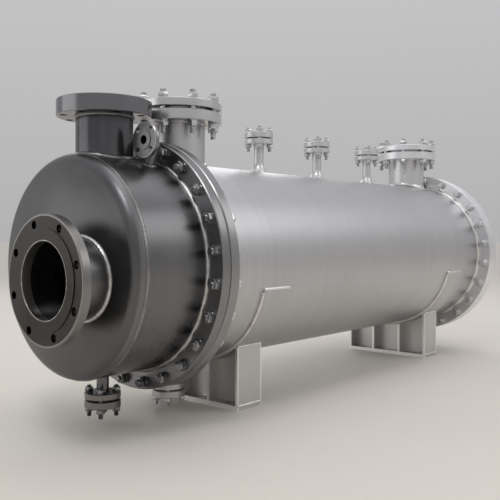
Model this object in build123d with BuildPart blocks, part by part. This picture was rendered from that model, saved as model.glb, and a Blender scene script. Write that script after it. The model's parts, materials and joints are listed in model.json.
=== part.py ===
from build123d import *
import math
import os

# Horizontal tube condenser on two saddles, in millimetres, +Z up.
# The origin is on the floor under the middle of the vessel, the vessel's axis runs along X,
# the inlet faces -X, and the vent and the offset of the inlet are on the -Y side.

# Vessel
axis_height = 470
shell_diameter = 644
shell_wall = 8
shell_length = 1750
channel_wall = 10
channel_length = 215
rear_channel_length = 45
crown_radius = 1020
knuckle_radius = 38

# Girth joints
girth_flange_width = 60
girth_flange_thickness = 32
girth_bevel = 3
girth_bolt_edge = 24
girth_bolt_hole = 23
girth_bolt_count = 24
girth_gasket_width = 26
gasket_thickness = 3
tubesheet_thickness = 34

# Inlet nozzle on the front head
inlet_projection = 97
inlet_aside = 120
inlet_below = 26
inlet_bore = 206
inlet_pipe = 224
inlet_hub = 252
inlet_hub_length = 18
inlet_flange_diameter = 343
inlet_flange_thickness = 28
inlet_bolt_circle = 298.5
inlet_bolt_hole = 22.4
inlet_bolt_count = 8
inlet_bolt_turn = 5
inlet_raised_face = 270

# Outlet, vapour and rear nozzles
main_bore = 154
main_pipe = 168.3
main_projection = 165
main_flange_diameter = 279
main_bolt_circle = 241.3
main_bolt_hole = 22.2
main_bolt_count = 8
main_raised_face = 216
main_gasket_thickness = 4
outlet_flange_thickness = 50
vapour_flange_thickness = 36
blind_thickness = 27
vapour_setback = 122
rear_nozzle_setback = 105
outlet_place_share = 0.49

# Small nozzles
small_bore = 26
small_pipe = 36
small_flange_diameter = 106
small_flange_thickness = 21
small_blind_thickness = 24
small_raised_face = 56
small_bolt_circle = 79.4
small_bolt_hole = 15.9
small_bolt_count = 4
instrument_projection = 124
instrument_place_shares = (0.3, 0.51, 0.73)
channel_drain_projection = 70
shell_drain_projection = 83
shell_drain_setback = 76
drain_place_share = 0.46

# Vent on the channel
vent_angle = 24
vent_setback = 48
vent_rise = 72
vent_bend = 28
vent_stub = 5
vent_flange_thickness = 14

# Saddles
saddle_setback = 245
wear_plate_width = 126
wear_plate_thickness = 10
wear_plate_half_angle = 76
wear_plate_corner = 10
saddle_length = 400
saddle_width = 116
base_thickness = 15
web_thickness = 12
rib_thickness = 10
rib_place_share = 0.34
anchor_hole = 22
anchor_slot = 40
anchor_place_share = 0.67
anchor_spacing = 64

# Fits
raised_height = 2
rim_bevel = 2
weld_gap = 0.2

# Rings of the girth joints, worked outwards from the shell
shell_radius = shell_diameter / 2
channel_bore = shell_diameter - 2 * channel_wall
girth_diameter = shell_diameter + 2 * girth_flange_width
girth_bolt_circle = girth_diameter - 2 * girth_bolt_edge
girth_gasket_diameter = channel_bore + 2 * girth_gasket_width

# Stations along the axis, from the inlet's joint face to the rear head
head_rise = math.sqrt((crown_radius - knuckle_radius) ** 2 - (shell_radius - knuckle_radius) ** 2)
head_depth = crown_radius - head_rise
girth_stack = girth_flange_thickness + gasket_thickness + tubesheet_thickness
front_length = inlet_projection + head_depth + channel_length + girth_stack
rear_length = girth_stack + rear_channel_length + head_depth
overall_length = front_length + shell_length + rear_length
inlet_x = -overall_length / 2
channel_x = inlet_x + inlet_projection + head_depth
channel_flange_x = channel_x + channel_length
front_gasket_x = channel_flange_x + girth_flange_thickness
front_tubesheet_x = front_gasket_x + gasket_thickness
shell_x = front_tubesheet_x + tubesheet_thickness
rear_tubesheet_x = shell_x + shell_length
rear_gasket_x = rear_tubesheet_x + tubesheet_thickness
rear_flange_x = rear_gasket_x + gasket_thickness
rear_channel_x = rear_flange_x + girth_flange_thickness
rear_head_x = rear_channel_x + rear_channel_length

# Places of the nozzles along the axis
outlet_x = channel_x + channel_length * outlet_place_share
channel_drain_x = channel_x + channel_length * drain_place_share
vent_x = channel_flange_x - vent_setback
vapour_x = shell_x + vapour_setback
rear_nozzle_x = rear_tubesheet_x - rear_nozzle_setback
shell_drain_x = shell_x + shell_drain_setback
instrument_xs = [shell_x + shell_length * share for share in instrument_place_shares]
saddle_xs = {"front": shell_x + saddle_setback, "rear": rear_tubesheet_x - saddle_setback}

axis_line = Axis((0, 0, axis_height), (1, 0, 0))
axis_plane = Plane(origin=(0, 0, axis_height), x_dir=(1, 0, 0), z_dir=(0, -1, 0))
vent_radius = shell_radius + vent_rise
vent_lean = math.radians(vent_angle)
vent_side = -math.sin(vent_lean)
vent_up = math.cos(vent_lean)
vent_plane = Plane(origin=(vent_x, 0, axis_height), x_dir=(1, 0, 0), z_dir=(0, -vent_up, vent_side))

os.makedirs("parts", exist_ok=True)


def save(builder, name):
    """Label a finished piece and write it under its own name."""
    builder.part.label = name
    export_step(builder.part, f"parts/{name}.step")


def across(x):
    """Plane square to the vessel's axis at x, with Y to the right and Z up."""
    return Plane(origin=(x, 0, axis_height), x_dir=(0, 1, 0), z_dir=(1, 0, 0))


def top_face(x, projection):
    """Joint face of a nozzle that stands on top of the vessel."""
    return Plane(origin=(x, 0, axis_height + shell_radius + projection), x_dir=(1, 0, 0), z_dir=(0, 0, 1))


def bottom_face(x, projection):
    """Joint face of a nozzle that hangs under the vessel."""
    return Plane(origin=(x, 0, axis_height - shell_radius - projection), x_dir=(1, 0, 0), z_dir=(0, 0, -1))


inlet_centre = (inlet_x, -inlet_aside, axis_height - inlet_below)
inlet_face = Plane(origin=inlet_centre, x_dir=(0, -1, 0), z_dir=(-1, 0, 0))
outlet_face = top_face(outlet_x, main_projection)
vapour_face = top_face(vapour_x, main_projection)
rear_face = top_face(rear_nozzle_x, main_projection)
instrument_faces = [top_face(x, instrument_projection) for x in instrument_xs]
channel_drain_face = bottom_face(channel_drain_x, channel_drain_projection)
shell_drain_face = bottom_face(shell_drain_x, shell_drain_projection)


def tube(x, length, diameter, wall):
    """Open barrel along the axis, starting at x."""
    with BuildSketch(across(x)) as section:
        Circle(diameter / 2)
        Circle(diameter / 2 - wall, mode=Mode.SUBTRACT)
    extrude(section.sketch, amount=length)


def drill(face, bore):
    """Cut a nozzle's bore through the wall that the nozzle stands on."""
    with BuildSketch(face) as section:
        Circle(bore / 2)
    extrude(section.sketch, amount=-axis_height, mode=Mode.SUBTRACT)


def dish_outline(tangent_x, direction, growth):
    """Crown and knuckle arcs of a dished head, grown outwards; the crown points along direction."""
    centre = Vector(tangent_x + direction * (head_depth - crown_radius), 0)
    knuckle = Vector(tangent_x, shell_radius - knuckle_radius)
    apex = centre + Vector(direction * (crown_radius + growth), 0)
    turn = centre + (knuckle - centre).normalized() * (crown_radius + growth)
    crown = TangentArc(apex, turn, tangent=(0, 1))
    corner = TangentArc(turn, (tangent_x, shell_radius + growth), tangent=crown % 1)
    return apex, corner @ 1


def dished_head(tangent_x, direction):
    """Hollow dished head turned about the vessel's axis."""
    with BuildSketch(axis_plane) as section:
        with BuildLine():
            outer_apex, outer_rim = dish_outline(tangent_x, direction, 0)
            inner_apex, inner_rim = dish_outline(tangent_x, direction, -channel_wall)
            Line(outer_apex, inner_apex)
            Line(outer_rim, inner_rim)
        make_face()
    revolve(section.sketch, axis=axis_line)


def cut_dish(tangent_x, direction):
    """Trim a neck to the outside of a dished head."""
    with BuildSketch(axis_plane) as section:
        with BuildLine():
            apex, rim = dish_outline(tangent_x, direction, weld_gap)
            Polyline(apex, (tangent_x, 0), rim)
        make_face()
    revolve(section.sketch, axis=axis_line, mode=Mode.SUBTRACT)


def cut_shell(x, span):
    """Trim a neck to the outside of the shell."""
    with BuildSketch(across(x - span)) as section:
        Circle(shell_radius + weld_gap)
    extrude(section.sketch, amount=span + span, mode=Mode.SUBTRACT)


def flange_ring(face, diameter, thickness, bore, raised_face):
    """Flange with a raised joint face on the given plane and a bevelled rim."""
    with BuildSketch(face.offset(-raised_height)) as disc:
        Circle(diameter / 2)
    extrude(disc.sketch, amount=raised_height - thickness)
    chamfer(edges().filter_by(GeomType.CIRCLE), length=rim_bevel)
    with BuildSketch(face.offset(-raised_height)) as joint:
        Circle(raised_face / 2)
    extrude(joint.sketch, amount=raised_height)
    with BuildSketch(face) as opening:
        Circle(bore / 2)
    extrude(opening.sketch, amount=-thickness, mode=Mode.SUBTRACT)


def bolt_holes(face, thickness, bolt_circle, hole, count, turn):
    """Bolt holes that straddle the flange's centre lines, then turned by a small angle."""
    with BuildSketch(face) as holes:
        with PolarLocations(bolt_circle / 2, count, start_angle=180 / count + turn):
            Circle(hole / 2)
    extrude(holes.sketch, amount=-thickness, mode=Mode.SUBTRACT)


def girth_holes(x, thickness):
    """Bolt holes of a girth joint through the ring that starts at x."""
    bolt_holes(across(x + thickness), thickness, girth_bolt_circle, girth_bolt_hole, girth_bolt_count, 0)


def main_holes(face, thickness):
    """Bolt holes through a flange or cover of a main nozzle, down from the given plane."""
    bolt_holes(face, thickness, main_bolt_circle, main_bolt_hole, main_bolt_count, 0)


def small_holes(face, thickness):
    """Bolt holes through a flange or cover of a small nozzle, down from the given plane."""
    bolt_holes(face, thickness, small_bolt_circle, small_bolt_hole, small_bolt_count, 0)


def blind_disc(face, gap, diameter, thickness, raised_face):
    """Blind cover over a flange, with its own raised face towards the joint."""
    with BuildSketch(face.offset(gap + raised_height)) as disc:
        Circle(diameter / 2)
    extrude(disc.sketch, amount=thickness - raised_height)
    chamfer(edges().filter_by(GeomType.CIRCLE), length=rim_bevel)
    with BuildSketch(face.offset(gap)) as joint:
        Circle(raised_face / 2)
    extrude(joint.sketch, amount=raised_height)


def neck(face, thickness, pipe, bore, projection):
    """Pipe from the back of a flange to the shell, trimmed to the shell's curve."""
    with BuildSketch(face.offset(-thickness)) as section:
        Circle(pipe / 2)
        Circle(bore / 2, mode=Mode.SUBTRACT)
    extrude(section.sketch, amount=thickness - projection - shell_radius)
    cut_shell(face.origin.X, pipe)


# Shell with the bores of its nozzles
with BuildPart() as shell_barrel:
    tube(shell_x, shell_length, shell_diameter, shell_wall)
    drill(vapour_face, main_bore)
    drill(rear_face, main_bore)
    drill(shell_drain_face, small_bore)
    for instrument_face in instrument_faces:
        drill(instrument_face, small_bore)
save(shell_barrel, "shell_barrel")

# Channel between the front head and the girth joint
with BuildPart() as channel_barrel:
    tube(channel_x, channel_length, shell_diameter, channel_wall)
    drill(outlet_face, main_bore)
    drill(channel_drain_face, small_bore)
    with BuildSketch(Plane(vent_plane.origin, x_dir=(1, 0, 0), z_dir=vent_plane.y_dir)):
        Circle(small_bore / 2)
    extrude(amount=vent_radius, mode=Mode.SUBTRACT)
save(channel_barrel, "channel_barrel")

with BuildPart() as rear_barrel:
    tube(rear_channel_x, rear_channel_length, shell_diameter, channel_wall)
save(rear_barrel, "rear_barrel")

# Dished heads, the front one with the inlet's bore
with BuildPart() as channel_head:
    dished_head(channel_x, -1)
    with BuildSketch(inlet_face):
        Circle(inlet_bore / 2)
    extrude(amount=-inlet_projection - head_depth, mode=Mode.SUBTRACT)
save(channel_head, "channel_head")

with BuildPart() as rear_head:
    dished_head(rear_head_x, 1)
save(rear_head, "rear_head")

# Girth joints: a flange on each channel, a gasket and a tubesheet that carries the shell
for name, x in (("channel_flange", channel_flange_x), ("rear_flange", rear_flange_x)):
    with BuildPart() as girth_flange:
        tube(x, girth_flange_thickness, girth_diameter, girth_flange_width + channel_wall)
        girth_rims = girth_flange.edges().filter_by(GeomType.CIRCLE).group_by(SortBy.RADIUS)[-1]
        chamfer(girth_rims, length=girth_bevel)
        girth_holes(x, girth_flange_thickness)
    save(girth_flange, name)

for name, x in (("front_gasket", front_gasket_x), ("rear_gasket", rear_gasket_x)):
    with BuildPart() as girth_gasket:
        tube(x, gasket_thickness, girth_gasket_diameter, girth_gasket_width)
    save(girth_gasket, name)

for name, x in (("front_tubesheet", front_tubesheet_x), ("rear_tubesheet", rear_tubesheet_x)):
    with BuildPart() as tubesheet:
        with BuildSketch(across(x)):
            Circle(girth_diameter / 2)
        extrude(amount=tubesheet_thickness)
        chamfer(tubesheet.edges().filter_by(GeomType.CIRCLE), length=girth_bevel)
        girth_holes(x, tubesheet_thickness)
    save(tubesheet, name)

# Inlet nozzle, set to one side and a little low on the front head
with BuildPart() as inlet_flange:
    flange_ring(inlet_face, inlet_flange_diameter, inlet_flange_thickness, inlet_bore, inlet_raised_face)
    bolt_holes(inlet_face, inlet_flange_thickness, inlet_bolt_circle, inlet_bolt_hole, inlet_bolt_count,
               -inlet_bolt_turn)
save(inlet_flange, "inlet_flange")

with BuildPart() as inlet_neck:
    with BuildSketch(inlet_face.offset(-inlet_flange_thickness)) as hub_base:
        Circle(inlet_hub / 2)
    with BuildSketch(inlet_face.offset(-inlet_flange_thickness - inlet_hub_length)) as hub_end:
        Circle(inlet_pipe / 2)
    loft()
    with BuildSketch(inlet_face.offset(-inlet_flange_thickness - inlet_hub_length)):
        Circle(inlet_pipe / 2)
    extrude(amount=inlet_flange_thickness + inlet_hub_length - inlet_projection - head_depth)
    with BuildSketch(inlet_face):
        Circle(inlet_bore / 2)
    extrude(amount=-inlet_projection - head_depth, mode=Mode.SUBTRACT)
    cut_dish(channel_x, -1)
save(inlet_neck, "inlet_neck")

# Outlet nozzle on top of the channel
with BuildPart() as outlet_flange:
    flange_ring(outlet_face, main_flange_diameter, outlet_flange_thickness, main_bore, main_raised_face)
    main_holes(outlet_face, outlet_flange_thickness)
save(outlet_flange, "outlet_flange")

with BuildPart() as outlet_neck:
    neck(outlet_face, outlet_flange_thickness, main_pipe, main_bore, main_projection)
save(outlet_neck, "outlet_neck")

# Vapour nozzle and rear nozzle on the shell, each closed by a blind cover
for name, face in (("vapour", vapour_face), ("rear_nozzle", rear_face)):
    with BuildPart() as main_neck:
        neck(face, vapour_flange_thickness, main_pipe, main_bore, main_projection)
    save(main_neck, f"{name}_neck")
    with BuildPart() as main_flange:
        flange_ring(face, main_flange_diameter, vapour_flange_thickness, main_bore, main_raised_face)
        main_holes(face, vapour_flange_thickness)
    save(main_flange, f"{name}_flange")
    with BuildPart() as main_gasket:
        with BuildSketch(face):
            Circle(main_raised_face / 2)
            Circle(main_bore / 2, mode=Mode.SUBTRACT)
        extrude(amount=main_gasket_thickness)
    save(main_gasket, f"{name}_gasket")
    with BuildPart() as main_blind:
        blind_disc(face, main_gasket_thickness, main_flange_diameter, blind_thickness, main_raised_face)
        main_holes(face.offset(main_gasket_thickness + blind_thickness), blind_thickness)
    save(main_blind, f"{name}_blind")

# Small nozzles: three for instruments on top, one drain under the channel and one under the shell
small_nozzles = {
    "instrument": (instrument_faces, instrument_projection),
    "channel_drain": ([channel_drain_face], channel_drain_projection),
    "shell_drain": ([shell_drain_face], shell_drain_projection),
}
for name, (faces, projection) in small_nozzles.items():
    solids = {"neck": [], "flange": [], "blind": []}
    for face in faces:
        with BuildPart() as small_neck:
            neck(face, small_flange_thickness, small_pipe, small_bore, projection)
        with BuildPart() as small_flange:
            flange_ring(face, small_flange_diameter, small_flange_thickness, small_bore, small_raised_face)
            small_holes(face, small_flange_thickness)
        with BuildPart() as small_blind:
            blind_disc(face, 0, small_flange_diameter, small_blind_thickness, small_raised_face)
            small_holes(face.offset(small_blind_thickness), small_blind_thickness)
        solids["neck"].append(small_neck.part)
        solids["flange"].append(small_flange.part)
        solids["blind"].append(small_blind.part)
    for kind, pieces in solids.items():
        with BuildPart() as small_set:
            add(pieces)
        save(small_set, f"{name}_{kind}" if len(faces) == 1 else f"{name}_{kind}s")

# Vent elbow on the channel, turned to face forwards
with BuildPart() as vent_elbow:
    with BuildLine(vent_plane) as vent_route:
        corner = (0, vent_radius)
        FilletPolyline((0, 0), corner, (-vent_bend - vent_stub, vent_radius), radius=vent_bend)
    with BuildSketch(Plane(vent_plane.origin, x_dir=(1, 0, 0), z_dir=vent_plane.y_dir)):
        Circle(small_pipe / 2)
        Circle(small_bore / 2, mode=Mode.SUBTRACT)
    sweep(path=vent_route.wire())
    cut_shell(vent_x, small_pipe)
save(vent_elbow, "vent_elbow")

vent_face = Plane(
    origin=vent_plane.from_local_coords((-vent_bend - vent_stub - vent_flange_thickness, vent_radius, 0)),
    x_dir=(0, -1, 0),
    z_dir=(-1, 0, 0),
)
with BuildPart() as vent_flange:
    flange_ring(vent_face, small_flange_diameter, vent_flange_thickness, small_bore, small_raised_face)
    small_holes(vent_face, vent_flange_thickness)
save(vent_flange, "vent_flange")

# Saddles: a wear plate round the shell, a web on a base plate, and ribs between them
wear_inner_radius = shell_radius + weld_gap
wear_outer_radius = wear_inner_radius + wear_plate_thickness
web_radius = wear_outer_radius + weld_gap
web_half_length = saddle_length / 2 - rib_thickness
rib_depth = (saddle_width - web_thickness) / 2


def saddle_plate(plane, y, width, thickness):
    """Upright plate from the base plate to the underside of the wear plate, centred on y."""
    with BuildSketch(plane) as outline:
        with Locations((y, 0)):
            Rectangle(width, axis_height - base_thickness, align=(Align.CENTER, Align.MAX))
        Circle(web_radius, mode=Mode.SUBTRACT)
    extrude(outline.sketch, amount=thickness)


for name, x in saddle_xs.items():
    with BuildPart() as wear_plate:
        with BuildSketch(across(x - wear_plate_width / 2)):
            with BuildLine():
                first_angle = -90 - wear_plate_half_angle
                inner = CenterArc((0, 0), wear_inner_radius, first_angle, wear_plate_half_angle * 2)
                outer = CenterArc((0, 0), wear_outer_radius, first_angle, wear_plate_half_angle * 2)
                Line(inner @ 0, outer @ 0)
                Line(inner @ 1, outer @ 1)
            make_face()
        extrude(amount=wear_plate_width)
        corner_edges = wear_plate.edges().filter_by(GeomType.LINE).filter_by(Axis.X, reverse=True)
        fillet(corner_edges, radius=wear_plate_corner)
    save(wear_plate, f"{name}_wear_plate")

    with BuildPart() as saddle_web:
        saddle_plate(across(x - web_thickness / 2), 0, web_half_length * 2, web_thickness)
    save(saddle_web, f"{name}_saddle_web")

    with BuildPart() as saddle_ribs:
        for side in (-1, 1):
            end_y = side * (web_half_length + rib_thickness / 2)
            saddle_plate(across(x - saddle_width / 2), end_y, rib_thickness, saddle_width)
            middle_y = side * saddle_length / 2 * rib_place_share
            saddle_plate(across(x - saddle_width / 2), middle_y, rib_thickness, rib_depth)
            saddle_plate(across(x + web_thickness / 2), middle_y, rib_thickness, rib_depth)
    save(saddle_ribs, f"{name}_saddle_ribs")

    with BuildPart() as base_plate:
        with BuildSketch(Plane(origin=(x, 0, 0))):
            Rectangle(saddle_width, saddle_length)
            anchor_length = saddle_length * anchor_place_share
            with GridLocations(anchor_spacing, anchor_length, 2, 2):
                if name == "front":
                    Circle(anchor_hole / 2, mode=Mode.SUBTRACT)
                else:
                    SlotOverall(anchor_slot, anchor_hole, mode=Mode.SUBTRACT)
        extrude(amount=base_thickness)
    save(base_plate, f"{name}_base_plate")
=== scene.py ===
"""Dress the tube condenser: finishes for its solids, its studs, welds and tube ends, and a plain studio."""

import json
import logging
import math
from collections.abc import Callable, Iterator, Sequence
from contextlib import contextmanager
from dataclasses import dataclass, field, replace
from enum import Enum
from functools import cache
from typing import Protocol

import bmesh
import bpy
from mathutils import Matrix, Vector


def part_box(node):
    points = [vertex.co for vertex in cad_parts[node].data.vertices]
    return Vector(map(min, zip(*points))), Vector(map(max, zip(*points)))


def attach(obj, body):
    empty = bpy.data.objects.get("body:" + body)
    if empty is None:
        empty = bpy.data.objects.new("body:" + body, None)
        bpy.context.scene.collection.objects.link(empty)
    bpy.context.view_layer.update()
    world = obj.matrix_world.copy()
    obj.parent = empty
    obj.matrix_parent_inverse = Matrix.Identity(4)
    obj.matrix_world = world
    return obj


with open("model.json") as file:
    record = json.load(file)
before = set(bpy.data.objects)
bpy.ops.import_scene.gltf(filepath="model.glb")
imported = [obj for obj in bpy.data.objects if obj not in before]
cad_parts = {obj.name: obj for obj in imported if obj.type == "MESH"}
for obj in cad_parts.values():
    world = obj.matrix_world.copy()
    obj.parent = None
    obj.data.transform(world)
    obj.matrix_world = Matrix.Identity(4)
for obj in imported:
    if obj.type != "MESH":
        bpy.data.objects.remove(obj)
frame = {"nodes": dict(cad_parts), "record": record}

LOG = logging.getLogger("tube_condenser")
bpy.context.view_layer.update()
BODY = "root"
MM = 0.001
# Least cosine at which a face counts as the flat end of a turned piece
SQUARE_ON = 0.9
# Width over which one tone or normal of a solid gives way to the next
BLEND = 1 * MM

Colour = tuple[float, float, float]
Point = tuple[float, float, float]
Span = tuple[float, float]


class Slot(Enum):
    """Material slots of the record that new pieces belong to."""

    SHELL = "shell_steel"
    CHANNEL = "channel_steel"
    SADDLE = "saddle_steel"
    FASTENER = "fastener_steel"


class Along(Enum):
    """Direction that a turned piece's own axis points in, as a rotation from +Z."""

    UP = Matrix.Identity(4)
    VESSEL = Matrix.Rotation(math.pi / 2, 4, "Y")
    ACROSS = Matrix.Rotation(math.pi / 2, 4, "X")


class Element(Enum):
    """Kinds of mesh element to select, with the name of their list in an edited mesh."""

    EDGE = "edges"
    FACE = "faces"


# Places read from the frame


@dataclass(frozen=True)
class Box:
    """Box of one solid of the frame, in metres."""

    low: Vector
    high: Vector

    @classmethod
    def of(cls, node: str) -> "Box":
        """Box of the named solid."""
        low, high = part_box(node)
        return cls(Vector(low), Vector(high))

    @property
    def centre(self) -> Vector:
        """Middle of the box."""
        return (self.low + self.high) / 2

    @property
    def size(self) -> Vector:
        """Extent of the box along X, Y and Z."""
        return self.high - self.low


@dataclass(frozen=True)
class Vessel:
    """Main places of the vessel, read from its solids."""

    axis_z: float
    shell_radius: float
    girth_radius: float

    @classmethod
    def read(cls) -> "Vessel":
        """Measure the shell and the girth rings in the frame.

        Returns:
            The vessel's main places.
        """
        shell = Box.of("shell_barrel")
        ring = Box.of("front_tubesheet")
        return cls(shell.centre.z, shell.size.z / 2, ring.size.z / 2)

    def rise(self, y: float) -> float:
        """Height of the shell's top over its axis at a distance y to the side."""
        return math.sqrt(max(self.shell_radius ** 2 - y ** 2, 0))


# Modelling helpers


def only(piece: bpy.types.Object) -> None:
    """Select one object alone and make it active.

    Args:
        piece: Object to select.
    """
    bpy.ops.object.select_all(action="DESELECT")
    piece.select_set(True)
    bpy.context.view_layer.objects.active = piece


@contextmanager
def editing(piece: bpy.types.Object) -> Iterator[None]:
    """Hold one mesh object in edit mode, at first with nothing of it selected.

    Args:
        piece: Object to edit.
    """
    only(piece)
    bpy.ops.object.mode_set(mode="EDIT")
    bpy.ops.mesh.select_all(action="DESELECT")
    try:
        yield
    finally:
        bpy.ops.object.mode_set(mode="OBJECT")


def pick(piece: bpy.types.Object, element: Element, test: Callable[..., bool]) -> None:
    """Select the elements of an edited mesh that pass a test, and no others.

    Args:
        piece: Object in edit mode.
        element: Kind of element to select.
        test: True for an element to select.
    """
    bpy.ops.mesh.select_mode(type=element.name)
    bpy.ops.mesh.select_all(action="DESELECT")
    mesh = bmesh.from_edit_mesh(piece.data)
    for candidate in getattr(mesh, element.value):
        candidate.select_set(test(candidate))
    bmesh.update_edit_mesh(piece.data)


def pick_ends(piece: bpy.types.Object, *sides: int) -> None:
    """Select the flat ends of an edited turned piece: the lower one for -1, the upper one for 1."""
    pick(piece, Element.FACE, lambda face: any(side * face.normal.z > SQUARE_ON for side in sides))


def named(piece: bpy.types.Object, name: str) -> bpy.types.Object:
    """Give an object and its mesh the same name."""
    piece.name = piece.data.name = name
    return piece


def started(name: str, primitive: Callable[..., object], **sizes: object) -> bpy.types.Object:
    """Add the primitive that a piece is shaped from, with nothing else selected.

    Args:
        name: Name of the piece.
        primitive: Operator that adds the primitive.
        **sizes: Its sizes and its place.

    Returns:
        The new object.
    """
    bpy.ops.object.select_all(action="DESELECT")
    primitive(**sizes)
    return named(bpy.context.active_object, name)


def settle(piece: bpy.types.Object) -> bpy.types.Object:
    """Put a piece's place into its mesh, so that its object sits at the origin.

    Args:
        piece: Piece to settle.

    Returns:
        The same piece.
    """
    only(piece)
    bpy.ops.object.transform_apply(location=True, rotation=True, scale=True)
    return piece


def joined(name: str, parts: Sequence[bpy.types.Object]) -> bpy.types.Object:
    """Join objects into one piece.

    Args:
        name: Name of the finished piece.
        parts: Objects to join, of which the first stays.

    Returns:
        The joined piece, with its place in its mesh.
    """
    only(parts[0])
    for part in parts:
        part.select_set(True)
    if len(parts) > 1:
        bpy.ops.object.join()
    return named(settle(parts[0]), name)


def patterned(name: str, model: bpy.types.Object, places: Sequence[Matrix]) -> bpy.types.Object:
    """Copy a model to each place and join the copies.

    Args:
        name: Name of the finished piece.
        model: Shape to copy, which is removed afterwards.
        places: Where each copy goes.

    Returns:
        The joined copies, with their places in the mesh.
    """
    copies = []
    for place in places:
        copy = model.copy()
        copy.data = model.data.copy()
        copy.matrix_world = place
        bpy.context.collection.objects.link(copy)
        copies.append(copy)
    bpy.data.objects.remove(model, do_unlink=True)
    return joined(name, copies)


def rough_up(piece: bpy.types.Object, lump: float, height: float) -> None:
    """Give a bead the uneven surface of laid weld metal.

    Args:
        piece: Bead to shape.
        lump: Size of the lumps.
        height: How far the lumps stand out and sink in.
    """
    only(piece)
    texture = bpy.data.textures.new("weld_lumps", "CLOUDS")
    texture.noise_scale = lump
    modifier = piece.modifiers.new("lumps", "DISPLACE")
    modifier.texture = texture
    modifier.texture_coords = "LOCAL"
    modifier.strength = 2 * height
    bpy.ops.object.modifier_apply(modifier=modifier.name)


def smooth(piece: bpy.types.Object, angle: float) -> None:
    """Shade a piece smooth where its faces meet at less than the angle, in degrees."""
    only(piece)
    bpy.ops.object.shade_smooth_by_angle(angle=math.radians(angle))


# Finishes


def rgba(colour: Colour) -> tuple[float, float, float, float]:
    """Colour with full opacity."""
    return (*colour, 1.0)


class Graph:
    """Node tree of one material, from its coordinates to its shader."""

    def __init__(self, name: str) -> None:
        """Start a material with a plain shader.

        Args:
            name: Name of the material.
        """
        self.material = bpy.data.materials.new(name)
        self.material.use_nodes = True
        self.tree = self.material.node_tree
        self.shader = next(n for n in self.tree.nodes if n.type == "BSDF_PRINCIPLED")
        self.place = self.tree.nodes.new("ShaderNodeTexCoord").outputs["Object"]

    def put(self, socket: bpy.types.NodeSocket, value: object) -> None:
        """Link a pattern to a socket, or set a plain value on it.

        Args:
            socket: Socket to fill.
            value: Pattern or plain value.
        """
        if isinstance(value, bpy.types.NodeSocket):
            self.tree.links.new(value, socket)
        else:
            socket.default_value = value

    def feed(self, socket: str, value: object) -> None:
        """Give the shader a pattern or a plain value."""
        self.put(self.shader.inputs[socket], value)

    def metal(self, colour: bpy.types.NodeSocket, roughness: bpy.types.NodeSocket) -> None:
        """Make the shader bare metal.

        Args:
            colour: Pattern of colours.
            roughness: Pattern of roughness.
        """
        self.feed("Base Color", colour)
        self.feed("Metallic", 1.0)
        self.feed("Roughness", roughness)

    def node(self, kind: str, inputs: dict[str | int, object], **settings: object) -> bpy.types.Node:
        """Add a node.

        Args:
            kind: Node type, without its common prefix.
            inputs: Sockets to link, or values to set, by name or number.
            **settings: Properties of the node.

        Returns:
            The new node.
        """
        node = self.tree.nodes.new(f"ShaderNode{kind}")
        for key, value in settings.items():
            setattr(node, key, value)
        for key, value in inputs.items():
            self.put(node.inputs[key], value)
        return node

    def mapped(self, stretch: Point, centre: Point = (0, 0, 0)) -> bpy.types.NodeSocket:
        """Object coordinates measured from a centre and stretched.

        Args:
            stretch: Stretch along X, Y and Z.
            centre: Point that becomes the origin.

        Returns:
            The mapped vector.
        """
        shift = [-c * s for c, s in zip(centre, stretch)]
        return self.node("Mapping", {"Vector": self.place, "Scale": stretch, "Location": shift}).outputs[0]

    def noise(self, scale: float, detail: float, stretch: Point = (1, 1, 1)) -> bpy.types.NodeSocket:
        """Cloudy pattern from 0 to 1 with a middle of a half.

        Args:
            scale: Number of clouds to the metre.
            detail: Number of finer layers in the clouds.
            stretch: How much closer the clouds lie along X, Y and Z.

        Returns:
            The pattern.
        """
        inputs = {"Vector": self.mapped(stretch), "Scale": scale, "Detail": detail}
        return self.node("TexNoise", inputs).outputs[0]

    def spread(self, value: bpy.types.NodeSocket, low: float, high: float,
               start: float = 0.3, end: float = 0.7) -> bpy.types.NodeSocket:
        """Carry a pattern from start..end to low..high, and no further."""
        inputs = {"Value": value, "From Min": start, "From Max": end, "To Min": low, "To Max": high}
        return self.node("MapRange", inputs).outputs[0]

    def mix(self, share: bpy.types.NodeSocket, first: bpy.types.NodeSocket | Colour,
            second: bpy.types.NodeSocket | Colour) -> bpy.types.NodeSocket:
        """Blend two colours, each plain or a pattern, by a share from 0 to 1."""
        first, second = (c if isinstance(c, bpy.types.NodeSocket) else rgba(c) for c in (first, second))
        return self.node("Mix", {0: share, 6: first, 7: second}, data_type="RGBA").outputs[2]

    def total(self, *patterns: tuple[bpy.types.NodeSocket, float]) -> bpy.types.NodeSocket:
        """Weighted sum of patterns.

        Args:
            *patterns: Each pattern with its weight.

        Returns:
            The sum.
        """
        value = 0.0
        for pattern, weight in patterns:
            value = self.node("Math", {0: pattern, 1: weight, 2: value}, operation="MULTIPLY_ADD").outputs[0]
        return value

    def bump(self, height: bpy.types.NodeSocket, depth: float, base: bpy.types.NodeSocket | None = None) -> None:
        """Turn a height pattern into the shader's normal.

        Args:
            height: Pattern of heights.
            depth: Height in metres that a full step of the pattern stands for.
            base: Normal that the pattern stands on, where it isn't the smooth one.
        """
        bump = self.node("Bump", {"Height": height, "Distance": depth})
        if base is not None:
            self.put(bump.inputs["Normal"], base)
        self.feed("Normal", bump.outputs[0])

    def level_pole(self, radius: bpy.types.NodeSocket, reach: float) -> bpy.types.NodeSocket:
        """Smooth normal that gives way to the faces' own around a pole, where thin faces meet.

        Args:
            radius: Distance from the pole.
            reach: Distance up to which the faces' own normal holds.

        Returns:
            The normal.
        """
        geometry = self.node("NewGeometry", {})
        near = self.spread(radius, 1, 0, reach, reach + BLEND)
        inputs = {0: near, 4: geometry.outputs["Normal"], 5: geometry.outputs["True Normal"]}
        return self.node("Mix", inputs, data_type="VECTOR").outputs[1]


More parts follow.
